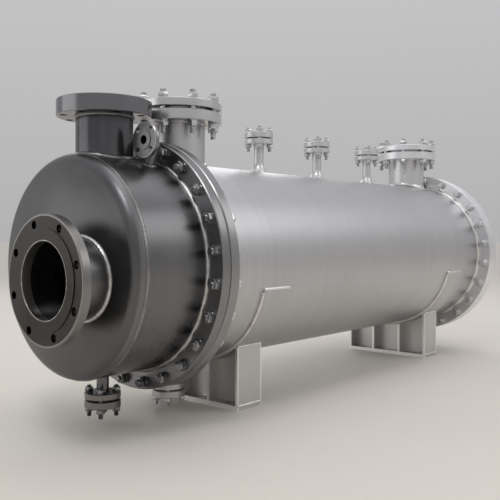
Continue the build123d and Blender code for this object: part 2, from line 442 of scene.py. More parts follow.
class Finish(Protocol):
    """Finish of a piece, which can build its own material."""

    def material(self) -> bpy.types.Material:
        """Build the material."""


@dataclass(frozen=True)
class BlastedSteel:
    """Pale stainless steel with a satin blasted skin and faint turns of rolling around the vessel."""

    name: str
    colour: Colour
    stain: Colour
    gloss: Span = (0.34, 0.46)
    grain: float = 900.0
    cloud: float = 2.6
    cloud_share: float = 0.6
    streak: float = 70.0
    streak_run: float = 1.5
    streak_height: float = 0.8
    stain_span: Span = (0.36, 0.62)
    grain_depth: float = 0.12 * MM

    def material(self) -> bpy.types.Material:
        """Build the material.

        Returns:
            The material.
        """
        graph = Graph(self.name)
        clouds = graph.noise(self.cloud, detail=4)
        streaks = graph.noise(1, detail=3, stretch=(self.streak, self.streak_run, self.streak_run))
        grain = graph.noise(self.grain, detail=1)
        tone = graph.total((clouds, self.cloud_share), (streaks, 1 - self.cloud_share))
        wear = graph.total((clouds, 0.5), (grain, 0.5))
        graph.metal(graph.mix(graph.spread(tone, 0, 1, *self.stain_span), self.stain, self.colour),
                    graph.spread(wear, *reversed(self.gloss)))
        graph.bump(graph.total((grain, 1.0), (streaks, self.streak_height)), self.grain_depth)
        return graph.material


@dataclass(frozen=True)
class BrushedSteel:
    """Darker steel, brushed around the vessel in soft patches."""

    name: str
    colour: Colour
    shade: Colour
    gloss: Span
    patch: float = 5.0
    patch_share: float = 0.7
    stroke: Point = (420.0, 3.0, 3.0)
    shade_span: Span = (0.36, 0.64)
    stroke_depth: float = 0.03 * MM

    def material(self) -> bpy.types.Material:
        """Build the material.

        Returns:
            The material.
        """
        graph = Graph(self.name)
        patches = graph.noise(self.patch, detail=2)
        strokes = graph.noise(1, detail=2, stretch=self.stroke)
        tone = graph.total((patches, self.patch_share), (strokes, 1 - self.patch_share))
        graph.metal(graph.mix(graph.spread(tone, 0, 1, *self.shade_span), self.shade, self.colour),
                    graph.spread(tone, *self.gloss, *self.shade_span))
        graph.bump(strokes, self.stroke_depth)
        return graph.material


class Turn(Enum):
    """Axes along which the tone of a solid changes from its middle to its rim."""

    ROUND_X = (0.0, 1.0, 1.0)
    ROUND_Z = (1.0, 1.0, 0.0)
    ACROSS_X = (1.0, 0.0, 0.0)


@dataclass(frozen=True)
class RingTone:
    """Tones of a turned solid: its face, the shade in its turns, its rim band of painted light (a painted highlight
    where it is lighter than the face, painted shade where it is darker) and its bore (a painted highlight on the
    inlet's bore wall), and the reach of its pole.
    """

    colour: Colour
    shade: Colour
    rim: Colour
    gloss: Span = (0.24, 0.36)
    bore: Colour = (0.0, 0.0, 0.0)
    bore_radius: float = -2 * MM
    pole_reach: float = 0.0


@dataclass(frozen=True)
class TurnedSteel:
    """Steel with fine rings from the lathe around its own centre, and painted light on its rim band and in its bore:
    tones of their own that stand in for highlight and shade there.
    """

    name: str
    tone: RingTone
    centre: Point
    turn: Turn
    painted_rim_radius: float
    ring: float = 520.0
    ring_share: float = 0.45
    cloud: float = 6.0
    shade_span: Span = (0.38, 0.62)
    ring_depth: float = 0.04 * MM

    def material(self) -> bpy.types.Material:
        """Build the material.

        Returns:
            The material.
        """
        graph = Graph(self.name)
        tone = self.tone
        reach = graph.mapped(self.turn.value, self.centre)
        radius = graph.node("VectorMath", {0: reach}, operation="LENGTH").outputs["Value"]
        inputs = {"W": radius, "Scale": self.ring, "Detail": 2.0}
        rings = graph.node("TexNoise", inputs, noise_dimensions="1D").outputs[0]
        clouds = graph.noise(self.cloud, detail=4)
        pattern = graph.total((rings, self.ring_share), (clouds, 1 - self.ring_share))
        face = graph.mix(graph.spread(pattern, 0, 1, *self.shade_span), tone.shade, tone.colour)
        # Rim band: painted highlight on most rims, the saddle rib edges among them; painted shade on the girth and
        # tubesheet rims, which are darker than their faces.
        outside = graph.spread(radius, 0, 1, self.painted_rim_radius - BLEND, self.painted_rim_radius)
        # Bore: a pale painted highlight on the inlet's bore wall.
        painted_bore_highlight = graph.spread(radius, 1, 0, tone.bore_radius, tone.bore_radius + BLEND)
        graph.metal(graph.mix(painted_bore_highlight, graph.mix(outside, face, tone.rim), tone.bore),
                    graph.spread(clouds, *tone.gloss))
        graph.bump(rings, self.ring_depth, graph.level_pole(radius, tone.pole_reach) if tone.pole_reach else None)
        return graph.material


@dataclass(frozen=True)
class WeldMetal:
    """Rippled weld bead with a faint heat tint."""

    name: str
    colour: Colour
    tint: Colour
    gloss: Span = (0.25, 0.42)
    ripple: float = 240.0
    tint_patch: float = 30.0
    tint_span: Span = (0.42, 0.68)
    ripple_depth: float = 0.5 * MM

    def material(self) -> bpy.types.Material:
        """Build the material.

        Returns:
            The material.
        """
        graph = Graph(self.name)
        ripples = graph.noise(self.ripple, detail=2)
        heat = graph.noise(self.tint_patch, detail=3)
        graph.metal(graph.mix(graph.spread(heat, 0, 1, *self.tint_span), self.colour, self.tint),
                    graph.spread(ripples, *self.gloss))
        graph.bump(ripples, self.ripple_depth)
        return graph.material


@dataclass(frozen=True)
class PlatedSteel:
    """Studs and nuts of plain bright steel, dulled in fine random specks."""

    name: str
    colour: Colour
    shade: Colour
    gloss: Span = (0.22, 0.4)
    speck: float = 160.0
    shade_span: Span = (0.35, 0.6)
    speck_depth: float = 0.05 * MM

    def material(self) -> bpy.types.Material:
        """Build the material.

        Returns:
            The material.
        """
        graph = Graph(self.name)
        specks = graph.noise(self.speck, detail=4)
        graph.metal(graph.mix(graph.spread(specks, 0, 1, *self.shade_span), self.shade, self.colour),
                    graph.spread(specks, *reversed(self.gloss)))
        graph.bump(specks, self.speck_depth)
        return graph.material


@dataclass(frozen=True)
class PressedFibre:
    """Dark matte sheet with short pressed fibres: the gasket, and the painted shade on the floors of the tube ends.
    """

    name: str
    colour: Colour
    fleck: Colour
    roughness: float = 0.85
    fibre: Point = (400.0, 400.0, 90.0)
    fleck_span: Span = (0.5, 0.75)
    fibre_depth: float = 0.2 * MM

    def material(self) -> bpy.types.Material:
        """Build the material.

        Returns:
            The material.
        """
        graph = Graph(self.name)
        fibres = graph.noise(1, detail=4, stretch=self.fibre)
        graph.feed("Base Color", graph.mix(graph.spread(fibres, 0, 1, *self.fleck_span), self.colour, self.fleck))
        graph.feed("Roughness", self.roughness)
        graph.bump(fibres, self.fibre_depth)
        return graph.material


@dataclass(frozen=True)
class PaintedFloor:
    """Pale studio floor with a barely uneven coat."""

    name: str
    colour: Colour
    shade: Colour
    coat: float = 1.2
    roughness: float = 0.6

    def material(self) -> bpy.types.Material:
        """Build the material.

        Returns:
            The material.
        """
        graph = Graph(self.name)
        coat = graph.noise(self.coat, detail=3)
        graph.feed("Base Color", graph.mix(graph.spread(coat, 0, 1), self.shade, self.colour))
        graph.feed("Roughness", self.roughness)
        return graph.material


SHELL_SKIN = BlastedSteel("shell_skin", (0.56, 0.555, 0.565), (0.51, 0.505, 0.515))
NOZZLE_SKIN = BlastedSteel("nozzle_skin", (0.68, 0.68, 0.69), (0.60, 0.60, 0.61), streak=20.0)
SADDLE_SKIN = BlastedSteel("saddle_skin", (0.64, 0.635, 0.62), (0.55, 0.545, 0.53), gloss=(0.40, 0.52), streak=20.0)
CHANNEL_SKIN = BrushedSteel("channel_skin", (0.19, 0.19, 0.193), (0.14, 0.14, 0.143), (0.24, 0.34))
OUTLET_SKIN = BrushedSteel("outlet_skin", (0.13, 0.13, 0.137), (0.08, 0.08, 0.085), (0.18, 0.28),
                           stroke=(60.0, 60.0, 1.5))
SHELL_WELD = WeldMetal("shell_weld", (0.66, 0.66, 0.66), (0.52, 0.505, 0.48))
# Lighter copy of the shell weld: painted highlight on the wear plate and saddle rib beads and the rear shell fillet.
SHELL_WELD_HIGHLIGHT = WeldMetal("wear_weld", (0.80, 0.80, 0.79), (0.68, 0.665, 0.64), ripple_depth=0.3 * MM)
CHANNEL_WELD = WeldMetal("channel_weld", (0.27, 0.27, 0.272), (0.20, 0.195, 0.188))
# Lighter copy of the channel weld: painted highlight on the channel flange fillet and the inlet's foot.
CHANNEL_WELD_HIGHLIGHT = WeldMetal("bright_weld", (0.55, 0.55, 0.55), (0.40, 0.385, 0.365), ripple_depth=0.3 * MM)
BOLTING = PlatedSteel("bolting", (0.74, 0.74, 0.745), (0.50, 0.50, 0.505))
# Darker copy of the bolting: painted shade on the inlet-side ends of the front girth studs and on the channel drain's
# studs.
SHADED_BOLTING = PlatedSteel("channel_bolting", (0.32, 0.32, 0.325), (0.14, 0.14, 0.143))
TUBE_METAL = PlatedSteel("tube_metal", (0.36, 0.31, 0.26), (0.20, 0.175, 0.15))
# Near-black floor a few millimetres down each tube end: painted shade for the unlit depth of the tube.
TUBE_BORE_SHADE = PressedFibre("tube_bore", (0.006, 0.006, 0.006), (0.012, 0.011, 0.010))
GASKET = PressedFibre("gasket_sheet", (0.018, 0.018, 0.018), (0.05, 0.048, 0.045))
FLOOR = PaintedFloor("floor_coat", (0.75, 0.715, 0.645), (0.72, 0.685, 0.62))

POLE_REACH = 32 * MM
# The inlet's pale bore colour is a painted highlight on its bore wall.
# The third colour of each tone is painted light on its rim band: a painted highlight where it is lighter than the
# face, painted shade where it is darker.
INLET_TONE = RingTone((0.055, 0.051, 0.049), (0.032, 0.030, 0.029), (0.24, 0.232, 0.225),
                      bore=(0.74, 0.70, 0.65), bore_radius=103.5 * MM)
OUTLET_TONE = RingTone((0.10, 0.10, 0.105), (0.06, 0.06, 0.063), (0.20, 0.20, 0.21), (0.16, 0.24))
GIRTH_TONE = RingTone((0.31, 0.31, 0.318), (0.22, 0.22, 0.228), (0.25, 0.25, 0.253))
HEAD_TONE = RingTone((0.14, 0.14, 0.143), (0.105, 0.105, 0.108), (0.19, 0.19, 0.193), (0.30, 0.40),
                     pole_reach=POLE_REACH)
REAR_HEAD_TONE = RingTone(SHELL_SKIN.colour, SHELL_SKIN.stain, SHELL_SKIN.colour, SHELL_SKIN.gloss,
                          pole_reach=POLE_REACH)
VENT_TONE = RingTone((0.20, 0.20, 0.203), (0.14, 0.14, 0.143), (0.26, 0.26, 0.263))
DRAIN_TONE = RingTone((0.16, 0.148, 0.14), (0.11, 0.10, 0.095), (0.22, 0.208, 0.20))
VAPOUR_TONE = RingTone((0.56, 0.56, 0.57), (0.47, 0.47, 0.48), (0.60, 0.60, 0.61))
SHEET_TONE = RingTone((0.46, 0.46, 0.47), (0.38, 0.38, 0.39), (0.31, 0.31, 0.313))
# Lighter copy of the tubesheet tone: painted highlight on the rear flange, rear tubesheet and rear nozzle.
REAR_HIGHLIGHT_TONE = RingTone((0.86, 0.86, 0.88), (0.79, 0.79, 0.81), (0.80, 0.80, 0.82), (0.30, 0.42))
# RIB_TONE's near-white rim is a painted highlight along the edges of the saddle ribs and base plates.
RIB_TONE = RingTone(SADDLE_SKIN.colour, SADDLE_SKIN.stain, (0.88, 0.875, 0.86), SADDLE_SKIN.gloss)


@cache
def material_of(finish: Finish) -> bpy.types.Material:
    """Material of a finish, built once."""
    return finish.material()


def dress(piece: bpy.types.Object, finish: Finish) -> None:
    """Give a finished new piece its material, unless it has one, and its body.

    Args:
        piece: New piece, in place.
        finish: Finish that covers it.
    """
    if not piece.data.materials:
        piece.data.materials.append(material_of(finish))
    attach(piece, BODY)
    LOG.info("%s: %d faces", piece.name, len(piece.data.polygons))


@dataclass
class Solids:
    """Finishes of the frame's own solids: turned ones, and skins by solid or else by slot."""

    # Width of the rim band that takes the painted rim highlight and shade.
    painted_rim_width: float = 5 * MM
    rings: dict[str, tuple[Turn, RingTone]] = field(default_factory=lambda: {
        "inlet_flange": (Turn.ROUND_X, INLET_TONE), "vent_flange": (Turn.ROUND_X, VENT_TONE),
        "channel_head": (Turn.ROUND_X, HEAD_TONE), "rear_head": (Turn.ROUND_X, REAR_HEAD_TONE),
        "channel_flange": (Turn.ROUND_X, GIRTH_TONE), "rear_flange": (Turn.ROUND_X, REAR_HIGHLIGHT_TONE),
        "front_tubesheet": (Turn.ROUND_X, SHEET_TONE), "rear_tubesheet": (Turn.ROUND_X, REAR_HIGHLIGHT_TONE),
        "channel_drain_flange": (Turn.ROUND_Z, DRAIN_TONE), "channel_drain_blind": (Turn.ROUND_Z, DRAIN_TONE),
        "vapour_flange": (Turn.ROUND_Z, VAPOUR_TONE), "vapour_blind": (Turn.ROUND_Z, VAPOUR_TONE),
        "rear_nozzle_flange": (Turn.ROUND_Z, REAR_HIGHLIGHT_TONE), "rear_nozzle_blind": (Turn.ROUND_Z, REAR_HIGHLIGHT_TONE),
        "front_saddle_ribs": (Turn.ACROSS_X, RIB_TONE), "rear_saddle_ribs": (Turn.ACROSS_X, RIB_TONE),
        "front_base_plate": (Turn.ACROSS_X, RIB_TONE), "rear_base_plate": (Turn.ACROSS_X, RIB_TONE),
        "outlet_flange": (Turn.ROUND_Z, OUTLET_TONE)})
    skins: dict[str, Finish] = field(default_factory=lambda: {
        "shell_steel": SHELL_SKIN, "channel_steel": CHANNEL_SKIN, "saddle_steel": SADDLE_SKIN, "gasket_fibre": GASKET,
        "outlet_neck": OUTLET_SKIN, "front_wear_plate": SHELL_SKIN, "rear_wear_plate": SHELL_SKIN,
        "instrument_necks": NOZZLE_SKIN, "instrument_flanges": NOZZLE_SKIN, "instrument_blinds": NOZZLE_SKIN,
        "rear_nozzle_neck": NOZZLE_SKIN})

    def finish_of(self, node: str, slot: str) -> Finish:
        """Choose the finish of one solid.

        Args:
            node: Name of the solid.
            slot: Slot of the record that it belongs to.

        Returns:
            The finish.
        """
        if node not in self.rings:
            return self.skins.get(node, self.skins[slot])
        turn, tone = self.rings[node]
        box = Box.of(node)
        width = box.size.x if turn is Turn.ACROSS_X else box.size.y
        return TurnedSteel(f"{node}_turned", tone, tuple(box.centre), turn, width / 2 - self.painted_rim_width)

    def dress(self) -> None:
        """Put a finish on every solid of the frame."""
        for subpart in frame["record"]["subparts"]:
            node = subpart["node"]
            solid = frame["nodes"][node]
            material = material_of(self.finish_of(node, subpart["material_slot"]))
            if not solid.material_slots:
                solid.data.materials.append(material)
            for slot in solid.material_slots:
                slot.material = material


# Bolting


@dataclass(frozen=True)
class Stud:
    """Stud bolt with a washer and a hexagon nut at each end; chamfers and thread depth are shares of their sizes."""

    diameter: float
    across_flats: float
    nut_height: float
    washer_diameter: float
    washer_height: float
    pitch: float
    tips: Span
    sides: int = 12
    thread_depth: float = 0.6
    tip_chamfer: float = 1 / 3
    nut_chamfer: float = 0.07
    washer_chamfer: float = 0.25
    crease: float = 28.0

    def model(self, grip: float) -> bpy.types.Object:
        """Model one stud along Z around the middle of its grip.

        Args:
            grip: Thickness that the nuts hold together.

        Returns:
            The stud with its nuts and washers.
        """
        nut_base = grip / 2 + self.washer_height
        parts = [self.rod(nut_base + self.nut_height)]
        for side in (-1, 1):
            parts.append(self.nut(side * (nut_base + self.nut_height / 2)))
            parts.append(self.washer(side * (grip + self.washer_height) / 2))
        stud = joined("stud", parts)
        smooth(stud, self.crease)
        return stud

    def rod(self, reach: float) -> bpy.types.Object:
        """Model the rod, threaded where it stands out of its nuts.

        Args:
            reach: Distance from the middle to the outside of each nut.

        Returns:
            The rod.
        """
        crest = self.diameter / 2
        root = crest - self.thread_depth * self.pitch
        rod = started("stud_rod", bpy.ops.mesh.primitive_cylinder_add, vertices=self.sides, radius=crest,
                      depth=2 * reach)
        with editing(rod):
            for end, tip in zip((-1, 1), self.tips):
                pick_ends(rod, end)
                for turn in range(2 * round(tip / self.pitch)):
                    share = root / crest if turn % 2 == 0 else crest / root
                    step = (0, 0, end * self.pitch / 2)
                    bpy.ops.mesh.extrude_region_move(TRANSFORM_OT_translate={"value": step})
                    bpy.ops.transform.resize(value=(share, share, 1))
                bpy.ops.mesh.bevel(offset=self.tip_chamfer * self.pitch, segments=1, affect="EDGES")
        return rod

    def nut(self, z: float) -> bpy.types.Object:
        """Model a hexagon nut with chamfered corners.

        Args:
            z: Height of its middle.

        Returns:
            The nut.
        """
        nut = started("stud_nut", bpy.ops.mesh.primitive_cylinder_add, vertices=6, depth=self.nut_height,
                      radius=self.across_flats / math.sqrt(3), location=(0, 0, z))
        with editing(nut):
            pick_ends(nut, -1, 1)
            bpy.ops.mesh.bevel(offset=self.nut_chamfer * self.across_flats, segments=2, affect="EDGES")
        return nut

    def washer(self, z: float) -> bpy.types.Object:
        """Model a washer with a chamfered rim.

        Args:
            z: Height of its middle.

        Returns:
            The washer.
        """
        washer = started("stud_washer", bpy.ops.mesh.primitive_cylinder_add, vertices=2 * self.sides,
                         radius=self.washer_diameter / 2, depth=self.washer_height, location=(0, 0, z))
        with editing(washer):
            pick_ends(washer, -1, 1)
            bpy.ops.mesh.bevel(offset=self.washer_chamfer * self.washer_height, segments=1, affect="EDGES")
        return washer


GIRTH_STUD = Stud(diameter=20 * MM, across_flats=30 * MM, nut_height=16 * MM, washer_diameter=34 * MM,
                  washer_height=3 * MM, pitch=2.5 * MM, tips=(7.5 * MM, 7.5 * MM))
MAIN_STUD = replace(GIRTH_STUD, tips=(22.5 * MM, 10 * MM))
SMALL_STUD = Stud(diameter=14 * MM, across_flats=22 * MM, nut_height=11 * MM, washer_diameter=24 * MM,
                  washer_height=2 * MM, pitch=2 * MM, tips=(14 * MM, 6 * MM))


def ring_places(centre: Vector, radius: float, count: int, along: Along) -> list[Matrix]:
    """Places on a bolt circle whose holes straddle the centre lines.

    Args:
        centre: Middle of the circle.
        radius: Radius of the circle.
        count: Number of places.
        along: Direction of the bolts.

    Returns:
        One matrix for each place.
    """
    places = []
    for number in range(count):
        turn = Matrix.Rotation((number + 0.5) * math.tau / count, 4, "Z")
        places.append(Matrix.Translation(centre) @ along.value @ turn @ Matrix.Translation((radius, 0, 0)))
    return places


@dataclass
class GirthStuds:
    """Studs around the two girth joints."""

    vessel: Vessel
    bolt_edge: float = 24 * MM
    count: int = 24
    stud: Stud = GIRTH_STUD

    def build(self) -> None:
        """Model the studs of both joints and dress them."""
        self.joint("front_girth_studs", "channel_flange", "front_tubesheet", SHADED_BOLTING)
        self.joint("rear_girth_studs", "rear_tubesheet", "rear_flange", BOLTING)

    def joint(self, name: str, first: str, last: str, finish: PlatedSteel) -> None:
        """Model the studs of one joint.

        Args:
            name: Name of the piece.
            first: Solid at the inlet side of the joint.
            last: Solid at the other side of the joint.
            finish: Finish of the ends at the inlet side, painted shade on the front joint; the other ends are bright.
        """
        low, high = Box.of(first).low.x, Box.of(last).high.x
        centre = Vector(((low + high) / 2, 0, self.vessel.axis_z))
        places = ring_places(centre, self.vessel.girth_radius - self.bolt_edge, self.count, Along.VESSEL)
        stud = self.stud.model(high - low)
        stud.data.materials.append(material_of(finish))
        stud.data.materials.append(material_of(BOLTING))
        # Inlet-side ends take the given finish, painted shade at the front joint; the others take the bright bolting.
        for face in stud.data.polygons:
            face.material_index = int(face.center.z > 0)
        dress(patterned(name, stud, places), finish)


@dataclass(frozen=True)
class BoltCircle:
    """Circle of studs that holds a cover."""

    diameter: float
    count: int
    stud: Stud


@dataclass
class CoverStuds:
    """Studs of the nozzles that are closed by a blind cover."""

    main: BoltCircle = BoltCircle(241.3 * MM, 8, MAIN_STUD)
    small: BoltCircle = BoltCircle(79.4 * MM, 4, SMALL_STUD)

    def build(self) -> None:
        """Model the studs of every covered nozzle and dress them."""
        for nozzle in ("vapour", "rear_nozzle"):
            flange, blind = Box.of(f"{nozzle}_flange"), Box.of(f"{nozzle}_blind")
            self.joint(f"{nozzle}_studs", [flange.centre.x], (flange.low.z, blind.high.z), self.main, BOLTING)
        grip = (Box.of("instrument_flanges").low.z, Box.of("instrument_blinds").high.z)
        self.joint("instrument_studs", self.instrument_places(), grip, self.small, BOLTING)
        # The channel drain's studs take the painted-shade bolting.
        for drain, finish in (("channel_drain", SHADED_BOLTING), ("shell_drain", BOLTING)):
            flange, blind = Box.of(f"{drain}_flange"), Box.of(f"{drain}_blind")
            self.joint(f"{drain}_studs", [flange.centre.x], (blind.low.z, flange.high.z), self.small, finish)

    def instrument_places(self) -> list[float]:
        """Find the middle of each instrument nozzle along the vessel, from the solid's own points.

        Returns:
            The middles, from the inlet's end on.
        """
        xs = sorted(vertex.co.x for vertex in frame["nodes"]["instrument_necks"].data.vertices)
        gap = 2 * self.small.diameter
        groups: list[list[float]] = [[xs[0]]]
        for x in xs[1:]:
            if x - groups[-1][-1] > gap:
                groups.append([])
            groups[-1].append(x)
        return [(group[0] + group[-1]) / 2 for group in groups]

    def joint(self, name: str, xs: Sequence[float], grip: Span, circle: BoltCircle, finish: PlatedSteel) -> None:
        """Model the studs of one nozzle, or of a row of like ones.

        Args:
            name: Name of the piece.
            xs: Middle of each nozzle along the vessel.
            grip: Height of the joint's lower and upper side.
            circle: Bolt circle of the nozzle.
            finish: Finish of the studs.
        """
        low, high = grip
        places = [place for x in xs for place in ring_places(
            Vector((x, 0, (low + high) / 2)), circle.diameter / 2, circle.count, Along.UP)]
        dress(patterned(name, circle.stud.model(high - low), places), finish)


# Welds


@dataclass(frozen=True)
class Bead:
    """Section of a bead: half of its width, and how far it stands out as a share of that."""

    half: float
    flat: float = 1.0


@dataclass
class Welder:
    """Ways of laying weld metal that all groups of welds share."""

    vessel: Vessel
    lump: float = 9 * MM
    lump_height: float = 0.5 * MM
    ring_sides: int = 10
    bar_sides: int = 12
    bar_round: float = 0.4
    crease: float = 60.0

    def finish(self, bead: bpy.types.Object, finish: WeldMetal, slot: Slot) -> None:
        """Roughen a bead and dress it.

        Args:
            bead: Bead in its place.
            finish: Finish of the bead.
            slot: Slot of the record that it belongs to; not used.
        """
        rough_up(bead, self.lump, self.lump_height)
        smooth(bead, self.crease)
        dress(bead, finish)

    def ring(self, name: str, centre: Vector, radius: float, bead: Bead, along: Along,
             segments: int) -> bpy.types.Object:
        """Model a round bead.

        Args:
            name: Name of the bead.
            centre: Middle of the ring.
            radius: Radius of the ring's middle line.
            bead: Section of the bead.
            along: Direction of the ring's axis.
            segments: Number of stretches around the ring.

        Returns:
            The bead, not yet dressed.
        """
        ring = started(name, bpy.ops.mesh.primitive_torus_add, major_radius=radius, minor_radius=bead.half,
                       major_segments=segments, minor_segments=self.ring_sides)
        for vertex in ring.data.vertices:
            reach = vertex.co.xy.length
            vertex.co.xy *= (radius + (reach - radius) * bead.flat) / reach
        ring.matrix_world = Matrix.Translation(centre) @ along.value
        return settle(ring)

    def bar(self, name: str, place: Point, length: float, bead: Bead, along: Along) -> bpy.types.Object:
        """Model a straight bead with rounded ends.

        Args:
            name: Name of the bead.
            place: Middle of the bead.
            length: Length of the bead.
            bead: Section of the bead.
            along: Direction of the bead.

        Returns:
            The bead, not yet dressed.
        """
        bar = started(name, bpy.ops.mesh.primitive_cylinder_add, vertices=self.bar_sides, radius=bead.half,
                      depth=length)
        with editing(bar):
            pick_ends(bar, -1, 1)
            bpy.ops.mesh.bevel(offset=self.bar_round * bead.half, segments=2, affect="EDGES")
            pick(bar, Element.EDGE, lambda edge: edge.calc_length() > length / 2)
            bpy.ops.mesh.subdivide(number_cuts=int(2 * length / self.lump))
        bar.matrix_world = Matrix.Translation(place) @ along.value
        return settle(bar)


@dataclass
class GirthWelds(Welder):
    """Beads that run around the vessel."""

    butt: Bead = Bead(6 * MM, 0.25)
    fillet: Bead = Bead(8 * MM)
    wide_fillet: Bead = Bead(11 * MM)
    segments: int = 300

    def build(self) -> None:
        """Model the beads and dress them."""
        beads = {
            "channel_head_weld": (Box.of("channel_barrel").low.x, self.butt, CHANNEL_WELD, Slot.CHANNEL),
            "channel_flange_weld": (Box.of("channel_flange").low.x, self.fillet, CHANNEL_WELD_HIGHLIGHT, Slot.CHANNEL),
            "front_shell_weld": (Box.of("shell_barrel").low.x, self.fillet, SHELL_WELD, Slot.SHELL),
            "rear_shell_weld": (Box.of("shell_barrel").high.x, self.wide_fillet, SHELL_WELD_HIGHLIGHT, Slot.SHELL),
            "rear_flange_weld": (Box.of("rear_flange").high.x, self.fillet, SHELL_WELD, Slot.SHELL),
            "rear_head_weld": (Box.of("rear_barrel").high.x, self.butt, SHELL_WELD, Slot.SHELL),
        }
        for name, (x, bead, finish, slot) in beads.items():
            centre = Vector((x, 0, self.vessel.axis_z))
            ring = self.ring(name, centre, self.vessel.shell_radius, bead, Along.VESSEL, self.segments)
            self.finish(ring, finish, slot)


@dataclass
class FootWelds(Welder):
    """Beads at the foot of each nozzle on the barrels."""

    instrument_xs: Sequence[float] = field(kw_only=True)
    outlet_bead: Bead = Bead(8 * MM)
    vapour_bead: Bead = Bead(10 * MM)
    drain_bead: Bead = Bead(5 * MM)
    vent_bead: Bead = Bead(6 * MM)
    main_flare: Span = (16 * MM, 20 * MM)
    small_flare: Span = (16 * MM, 34 * MM)
    flare_curve: float = 2.2
    flare_cuts: int = 3
    flare_sink: float = 1 * MM
    segments_per_metre: int = 1200
    least_segments: int = 48
    least_flare_segments: int = 40

    def foot(self, name: str, x: float, lean: float, radius: float, bead: Bead, finish: WeldMetal,
             slot: Slot) -> None:
        """Model the bead where a nozzle meets its barrel.

        Args:
            name: Name of the piece.
            x: Middle of the nozzle along the vessel.
            lean: Angle of the nozzle around the vessel, from the top towards -Y, in radians.
            radius: Outside radius of the nozzle's pipe.
            bead: Section of the bead.
            finish: Finish of the bead.
            slot: Slot of the record that it belongs to.
        """
        segments = max(self.least_segments, int(radius * self.segments_per_metre))
        ring = self.ring(name, Vector((x, 0, 0)), radius, bead, Along.UP, segments)
        for vertex in ring.data.vertices:
            vertex.co.z += self.vessel.rise(vertex.co.y)
        ring.matrix_world = Matrix.Translation((0, 0, self.vessel.axis_z)) @ Matrix.Rotation(lean, 4, "X")
        self.finish(settle(ring), finish, slot)

    def flare(self, name: str, x: float, pipe: float, size: Span) -> bpy.types.Object:
        """Model the weld metal that spreads the foot of an upright nozzle onto the shell.

        Args:
            name: Name of the flare.
            x: Middle of the nozzle along the vessel.
            pipe: Outside radius of the nozzle's pipe.
            size: How far it spreads on the shell and how far it climbs the pipe.

        Returns:
            The flare, not yet dressed.
        """
        spread, height = size
        segments = max(self.least_flare_segments, int(pipe * self.segments_per_metre))
        flare = started(name, bpy.ops.mesh.primitive_cone_add, vertices=segments, radius1=pipe + spread, radius2=pipe,
                        depth=height)
        with editing(flare):
            bpy.ops.mesh.select_all(action="SELECT")
            bpy.ops.mesh.subdivide(number_cuts=self.flare_cuts)
        foot_z = self.vessel.axis_z - self.flare_sink
        for vertex in flare.data.vertices:
            share = max(0.5 - vertex.co.z / height, 0)
            vertex.co.xy *= (pipe + spread * share ** self.flare_curve) / vertex.co.xy.length
            vertex.co.z = foot_z + self.vessel.rise(vertex.co.y) + (1 - share) * height
            vertex.co.x += x
        return flare

    def build(self) -> None:
        """Model the beads and dress them."""
        outlet, vapour, rear, channel_drain, shell_drain = (
            Box.of(f"{name}_neck") for name in ("outlet", "vapour", "rear_nozzle", "channel_drain", "shell_drain"))
        pipe, small = outlet.size.x / 2, channel_drain.size.x / 2
        self.foot("outlet_weld", outlet.centre.x, 0, pipe, self.outlet_bead, CHANNEL_WELD, Slot.CHANNEL)
        self.foot("vapour_weld", vapour.centre.x, 0, pipe, self.vapour_bead, SHELL_WELD, Slot.SHELL)
        self.finish(self.flare("rear_nozzle_weld", rear.centre.x, pipe, self.main_flare), SHELL_WELD, Slot.SHELL)
        flares = [self.flare("instrument_weld", x, small, self.small_flare) for x in self.instrument_xs]
        self.finish(joined("instrument_weld", flares), SHELL_WELD, Slot.SHELL)
        for name, drain, finish, slot in (("channel_drain_weld", channel_drain, CHANNEL_WELD, Slot.CHANNEL),
                                          ("shell_drain_weld", shell_drain, SHELL_WELD, Slot.SHELL)):
            self.foot(name, drain.centre.x, math.pi, small, self.drain_bead, finish, slot)
        vent = Box.of("vent_flange").centre
        lean = math.atan2(-vent.y, vent.z - self.vessel.axis_z)
        foot_x = Box.of("vent_elbow").high.x - small
        self.foot("vent_weld", foot_x, lean, small, self.vent_bead, CHANNEL_WELD, Slot.CHANNEL)


@dataclass
class InletWelds(Welder):
    """Beads of the inlet: its foot on the dished head, the end of its hub, and the lip of its bore."""

    crown_radius: float = 1020 * MM
    hub_step: float = 14 * MM
    hub_length: float = 18 * MM
    wall: float = 9 * MM
    lip_depth: float = 2 * MM
    foot_bead: Bead = Bead(8 * MM)
    hub_bead: Bead = Bead(6 * MM, 0.4)
    lip_bead: Bead = Bead(2.2 * MM)
    segments: int = 160

    def build(self) -> None:
        """Model the beads and dress them."""
        flange, neck, head = (Box.of(node) for node in ("inlet_flange", "inlet_neck", "channel_head"))
        pipe = neck.size.y / 2 - self.hub_step
        foot = self.loop("inlet_weld", head.low.x, pipe, self.foot_bead)
        for vertex in foot.data.vertices:
            out = math.hypot(vertex.co.y, vertex.co.z - self.vessel.axis_z)
            vertex.co.x += self.crown_radius - math.sqrt(self.crown_radius ** 2 - out ** 2)
        self.finish(foot, CHANNEL_WELD_HIGHLIGHT, Slot.CHANNEL)
        seam = self.loop("inlet_hub_weld", neck.low.x + self.hub_length, pipe, self.hub_bead)
        self.finish(seam, CHANNEL_WELD, Slot.CHANNEL)
        lip = self.loop("inlet_lip_weld", flange.low.x + self.lip_depth, pipe - self.wall, self.lip_bead)
        self.finish(lip, CHANNEL_WELD, Slot.CHANNEL)

    def loop(self, name: str, x: float, radius: float, bead: Bead) -> bpy.types.Object:
        """Model a bead around the inlet's own axis.

        Args:
            name: Name of the bead.
            x: Place of the bead along the vessel.
            radius: Radius of the bead's middle line.
            bead: Section of the bead.

        Returns:
            The bead, not yet dressed.
        """
        axis = Box.of("inlet_flange").centre
        return self.ring(name, Vector((x, axis.y, axis.z)), radius, bead, Along.VESSEL, self.segments)


